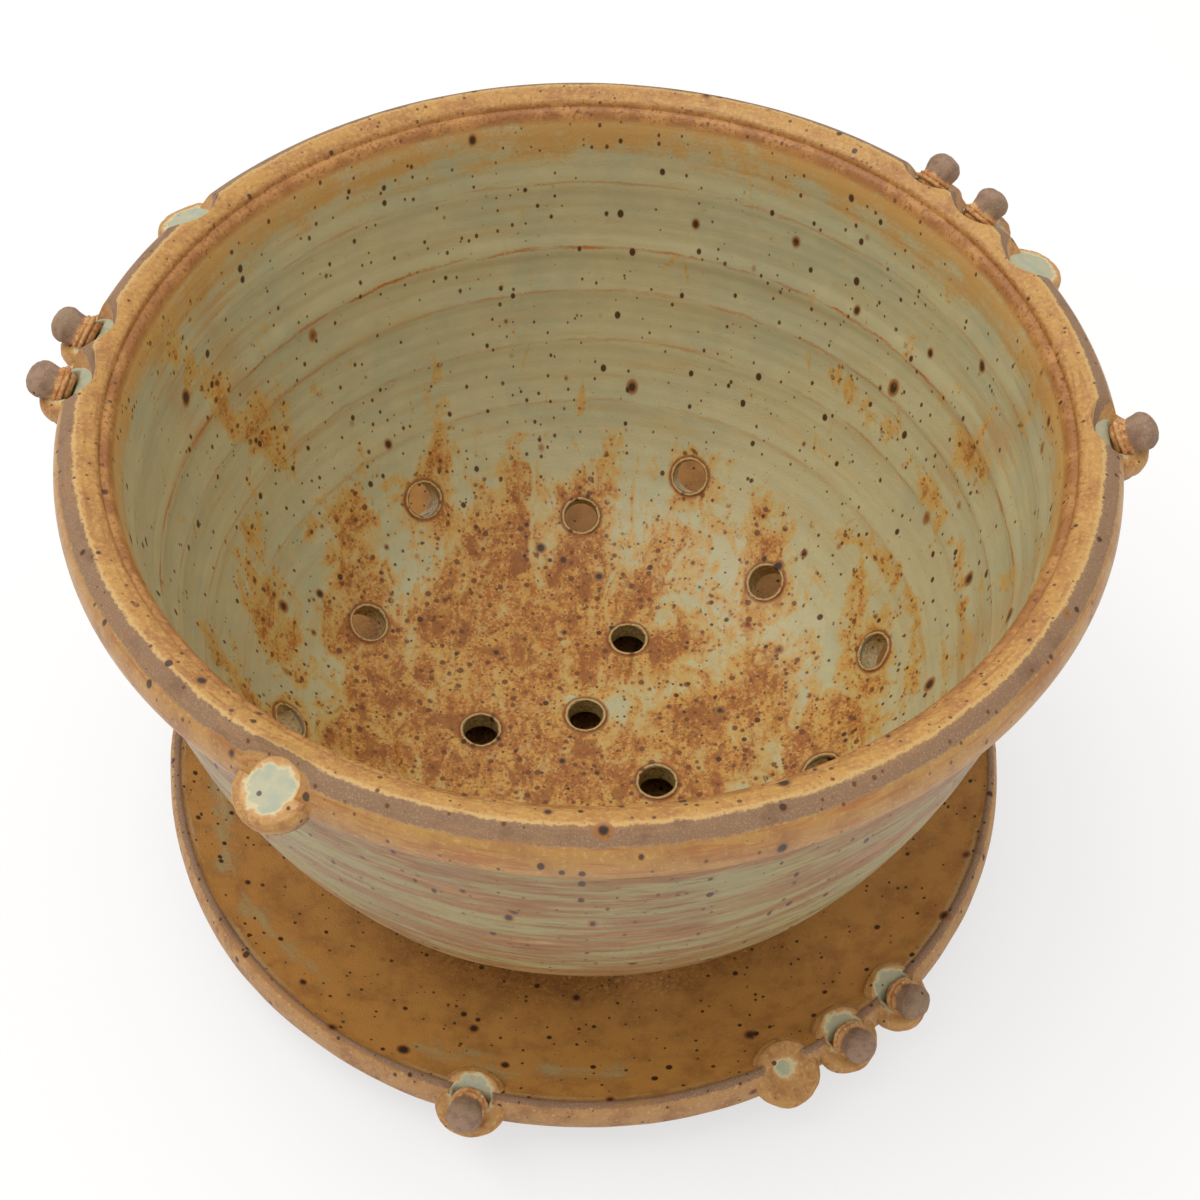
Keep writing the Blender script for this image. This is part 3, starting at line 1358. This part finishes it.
# %% Freckles and sheen of the bowl
tall = node_in(tree, VECTOR, {0: place, 1: (1, 1, 0.66)}, operation="MULTIPLY")
small = specks(tree, place, cell_mm=1.3, size_mm=1.2, share=0.9, seed=61)
large = specks(tree, place, cell_mm=2.1, size_mm=1.9, share=0.85, seed=27)
in_grain = node_in(tree, MATH, {0: veil, 1: small}, operation="MULTIPLY")
on_rust = node_in(tree, MATH, {0: veil, 1: large}, operation="MULTIPLY")
freckled = coats(tree, whole_glaze, [
    (in_grain, "#A25C24"),
    (on_rust, "#6E3C18"),
    (specks(tree, tall, cell_mm=7, size_mm=4, share=0.5, seed=4), "#9A6532"),
    (specks(tree, tall, cell_mm=7, size_mm=2.6, share=0.5, seed=4), "#3A2718"),
    (specks(tree, tall, cell_mm=3, size_mm=1.8, share=0.5, seed=9), "#4E3018"),
    (specks(tree, tall, cell_mm=1.6, size_mm=1, share=0.55, seed=15), "#6B4320"),
])
rust_rough = 0.6
bare_rough = 0.85
satin = node_in(tree, RANGE, {0: patchy, 1: 0.3, 2: 0.7, 3: 0.3, 4: 0.44})
satin = node_in(tree, MIX, {0: burnt, 2: satin, 3: rust_rough}, data_type="FLOAT")
bare_bevel = zone(tree, edge_along, lip_end, bevel_end)
satin = node_in(tree, MIX, {0: bare_bevel, 2: satin, 3: bare_rough}, data_type="FLOAT")
wear(tree, freckled, satin, weighed(tree, grit, (grain, 0.5)), depth_mm=0.12)
bowl_skin.data.materials.append(bowl_glaze)
print("bowl glaze:", len(tree.nodes), "nodes")

# %% [markdown]
# ### Rust glaze on the saucer
# The same glazes, but the iron wash was laid thick here: the floor and the slope came out a
# granular rust brown, golden towards the rim, with a few streaks where celadon shows. The ridge
# of the rim was wiped, so that grogged clay stands bare there, and the band outside is ochre.

# %% Rust glaze on the saucer
saucer_glaze, tree = new_finish("rust_glazed_saucer_stoneware", IOR=1.5)
place, broad, patchy, grain, grit = clouds(tree)
along = node_in(tree, STORED, out="Fac", attribute_name="along")
celadon = node_in(tree, STORED, out="Fac", attribute_name="celadon")
edge_along = ragged(tree, along, grain, 1.4)

# Streaks 2.5 mm apart, and crystals a little larger than those on the bowl
turning = round_wheel(tree, place, along, 0.07)
streak_inputs = {"Vector": turning, "Scale": 0.4, "Detail": 4, "Roughness": 0.6}
streak = node_in(tree, NOISE, streak_inputs, out="Fac")
crystal = crystals(tree, place, 1.7)
floor_colour = coats(tree, "#A0642C", [
    (grain, 0.54, 0.68, 0.6, "#BC803C"),
    (patchy, 0.4, 0.7, 0.55, "#87552A"),
    (grain, 0.5, 0.34, 0.6, "#7C4A20"),
    (broad, 0.5, 0.66, 0.6, "#A97A3C"),
    (crystal, 0.7, 0.96, 0.6, "#BA8D4C"),
    (crystal, 0.28, 0.05, 0.6, "#55361A"),
    (specks(tree, place, cell_mm=1.5, size_mm=1.2, share=0.9, seed=57), "#7E4B20"),
    (specks(tree, place, cell_mm=1.3, size_mm=0.9, share=0.9, seed=83), "#C99650"),
])
slope_colour = coats(tree, "#C68E46", [
    (patchy, 0.4, 0.7, 0.7, "#9C6832"),
    (grain, 0.52, 0.74, 0.6, "#C4975A"),
])
saucer_band_colour = coats(tree, "#B0824C", [
    (patchy, 0.44, 0.66, 1, "#99693D"),
    (grain, 0.5, 0.74, 0.7, "#C9A477"),
])
bare_colour = coats(tree, "#8A6A50", [
    (grit, 0.5, 0.7, 0.7, "#A98E72"),
    (patchy, 0.5, 0.7, 0.6, "#73563F"),
    (streak, 0.5, 0.62, 0.75, "#A8753E"),
])
print("colours of the saucer's zones are mixed")

# %% [markdown]
# ### Zones and freckles of the saucer
# The slope turns golden away from the floor. Celadon shows in its strokes, where the clouds let
# it through, and in a broken line at the lip. The same freckles as on the bowl melt out of the
# clay, and the wiped ridge is as rough as the bowl's bevel.

# %% Zones and freckles of the saucer
shown = weighed(tree, celadon, (streak, 1.4), (patchy, 2.4), (grain, 0.8))
line = zone(tree, edge_along, saucer_lip_end - 1, saucer_lip_end, 0.4)
lined = node_in(tree, RANGE, {0: streak, 1: 0.44, 2: 0.56, 4: 0.8}, interpolation_type=SOFT)
broken_line = node_in(tree, MATH, {0: lined, 1: line}, operation="MULTIPLY")
coloured = coats(tree, floor_colour, [
    (edge_along, saucer_slope + 5, saucer_slope + 22, 1, slope_colour),
    (shown, 2.75, 3.5, 0.75, "#B8A878"),
    (broken_line, "#CDB080"),
    (zone(tree, edge_along, saucer_bevel_end, saucer_band_end, 0.3), saucer_band_colour),
    (zone(tree, edge_along, saucer_lip_end, saucer_bevel_end), bare_colour),
    (zone(tree, edge_along, saucer_band_end, saucer_band_end + past_all, 0.6), bare_colour),
])
freckled = coats(tree, coloured, [
    (specks(tree, place, cell_mm=7, size_mm=4, share=0.4, seed=21), "#8A5528"),
    (specks(tree, place, cell_mm=7, size_mm=2.6, share=0.4, seed=21), "#38251A"),
    (specks(tree, place, cell_mm=3, size_mm=1.8, share=0.55, seed=33), "#43290F"),
    (specks(tree, place, cell_mm=1.6, size_mm=1, share=0.55, seed=45), "#5A3818"),
])
satin = node_in(tree, RANGE, {0: patchy, 1: 0.3, 2: 0.7, 3: 0.42, 4: 0.58})
bare_ridge = zone(tree, edge_along, saucer_lip_end, saucer_bevel_end)
satin = node_in(tree, MIX, {0: bare_ridge, 2: satin, 3: bare_rough}, data_type="FLOAT")
wear(tree, freckled, satin, weighed(tree, grit, (grain, 0.6)), depth_mm=0.14)
saucer_skin.data.materials.append(saucer_glaze)
print("saucer glaze:", len(tree.nodes), "nodes")

# %% [markdown]
# ### Pools on the pads
# The hollow of a pad holds a pool of celadon. Each pool has a size and a place of its own, so how
# deep a point lies within its pool, in mm, is stored on the pad's points.

# %% Pools on the pads
# Radius of each pool and how far out of the pad's middle it lies, in mm
pool_sizes = {
    "bowl_pad_1": (4.9, -0.4),
    "bowl_pad_2": (4.9, -1.3),
    "bowl_pad_3": (4.9, -1.3),
    "bowl_pad_4": (4.1, 0.1),
    "bowl_pad_5": (5, -1.3),
    "bowl_pad_6": (5, -1.3),
    "bowl_pad_7": (5.3, -0.5),
    "bowl_pad_8": (4.9, -1.3),
    "saucer_pad_1": (4.3, -1),
    "saucer_pad_2": (2, -0.8),
    "saucer_pad_3": (4.2, -1.2),
    "saucer_pad_4": (4.6, -1.3),
}
for name, (size, shift) in pool_sizes.items():
    own = pad_own[name]
    store(pads[name], "pool", size - np.hypot(own[:, 0] - shift, own[:, 1]))
    store(pads[name], "side", own[:, 2])
print("pools laid:", len(pool_sizes))

# %% [markdown]
# ### Glaze of the pads
# The pool is celadon, thick enough to be nearly opaque and pale, and glossy. The pad's rim broke
# to rust and ochre with iron spots, and the skirt below was wiped and shows brown and dull.

# %% Glaze of the pads
pad_glaze, tree = new_finish("pooled_celadon_on_pads", IOR=1.5)
place, broad, patchy, grain, grit = clouds(tree)
wobble_inputs = {"Vector": place, "Scale": 0.45, "Detail": 3, "Roughness": 0.6}
wobble = node_in(tree, NOISE, wobble_inputs, out="Fac")
pool = node_in(tree, STORED, out="Fac", attribute_name="pool")
pool = ragged(tree, ragged(tree, pool, wobble, 3.6), grain, 0.5)
side = ragged(tree, node_in(tree, STORED, out="Fac", attribute_name="side"), wobble, 1.4)
rim_colour = coats(tree, "#B38446", [
    (wobble, 0.44, 0.64, 0.85, "#9C6634"),
    (grain, 0.5, 0.72, 0.7, "#CFA467"),
])
skirt_colour = coats(tree, "#94704A", [
    (wobble, 0.45, 0.62, 1, "#85654F"),
    (grain, 0.5, 0.75, 0.6, "#AE8A5C"),
])
pool_colour = coats(tree, "#A9A584", [
    (wobble, 0.44, 0.64, 0.8, "#979E84"),
    (patchy, 0.5, 0.7, 0.5, "#B8AD86"),
])
coloured = coats(tree, rim_colour, [
    (side, -1.2, -2.4, 1, skirt_colour),
    (pool, -0.9, -0.3, 0.75, "#C99B5F"),
    (pool, -0.25, 0.05, 1, "#C9B98C"),
    (pool, 0.1, 0.7, 1, pool_colour),
])
off_pool = node_in(tree, RANGE, {0: pool, 1: 0.2, 2: -0.2}, interpolation_type=SOFT)
iron = specks(tree, place, cell_mm=1.9, size_mm=0.95, share=0.7, seed=5)
spots_on_rim = node_in(tree, MATH, {0: off_pool, 1: iron}, operation="MULTIPLY")
freckled = coats(tree, coloured, [
    (spots_on_rim, "#5A3417"),
    (specks(tree, place, cell_mm=2.6, size_mm=1.4, share=0.4, seed=8), "#4A3522"),
])
gloss = node_in(tree, RANGE, {0: pool, 1: -0.4, 2: 0.6, 3: 0.55, 4: 0.26})
relief = node_in(tree, MATH, {0: off_pool, 1: grain}, operation="MULTIPLY")
wear(tree, freckled, gloss, relief, depth_mm=0.1)
for pad in pads.values():
    pad.data.materials.append(pad_glaze)
print("pad glaze:", len(tree.nodes), "nodes")

# %% [markdown]
# ### Bare clay of the pegs
# The pegs were left without glaze. Their heads fired to a matte mauve-brown with pores and pale
# grog, and the coils of the stem, torn and thin, flashed to orange and cream where vapour from
# the glaze reached them. The stored place gives the height along the peg.

# %% Bare clay of the pegs
peg_clay, tree = new_finish("bare_mauve_stoneware", IOR=1.45)
place, broad, patchy, grain, grit = clouds(tree)
own = node_in(tree, STORED, out="Vector", attribute_name="own_place")
up_peg = node_in(tree, "ShaderNodeSeparateXYZ", {0: own}, out="Z")
wobble_inputs = {"Vector": place, "Scale": 0.5, "Detail": 4, "Roughness": 0.65}
wobble = node_in(tree, NOISE, wobble_inputs, out="Fac")
up_peg = ragged(tree, ragged(tree, up_peg, wobble, 2.2), grain, 0.8)
head_colour = coats(tree, "#9A7C66", [
    (wobble, 0.42, 0.62, 0.75, "#7F6451"),
    (patchy, 0.5, 0.66, 0.6, "#8A7557"),
    (grit, 0.56, 0.72, 0.6, "#B39C88"),
])
coil_colour = coats(tree, "#C2905A", [
    (wobble, 0.46, 0.6, 1, "#B0713A"),
    (grain, 0.52, 0.68, 0.85, "#DDBB8A"),
    (grain, 0.42, 0.3, 0.8, "#6E4726"),
])
clay = coats(tree, coil_colour, [
    (up_peg, 3.1, 3.7, 1, head_colour),
    (specks(tree, place, cell_mm=2.4, size_mm=0.8, share=0.4, seed=3), "#45301F"),
    (specks(tree, place, cell_mm=1.0, size_mm=0.3, share=0.5, seed=6), "#5C4636"),
])
matte = node_in(tree, RANGE, {0: grit, 1: 0.4, 2: 0.7, 3: 0.8, 4: 0.95})
wear(tree, clay, matte, weighed(tree, grit, (grain, 0.6)), depth_mm=0.16)
for peg in pegs.values():
    peg.data.materials.append(peg_clay)
print("peg clay:", len(tree.nodes), "nodes")

# %% [markdown]
# ## Hand-over
# Each new piece stands for the measured piece of the same name and rides on the same pot, so
# that the bowl with its pads and pegs lifts off the saucer.

# %% Hand-over
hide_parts("bowl")
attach(bowl_skin, "bowl")
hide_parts("saucer")
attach(saucer_skin, "saucer")
for name, pad in pads.items():
    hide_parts(name)
    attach(pad, name.split("_")[0])
for name, peg in pegs.items():
    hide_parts(name)
    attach(peg, name.split("_")[0])
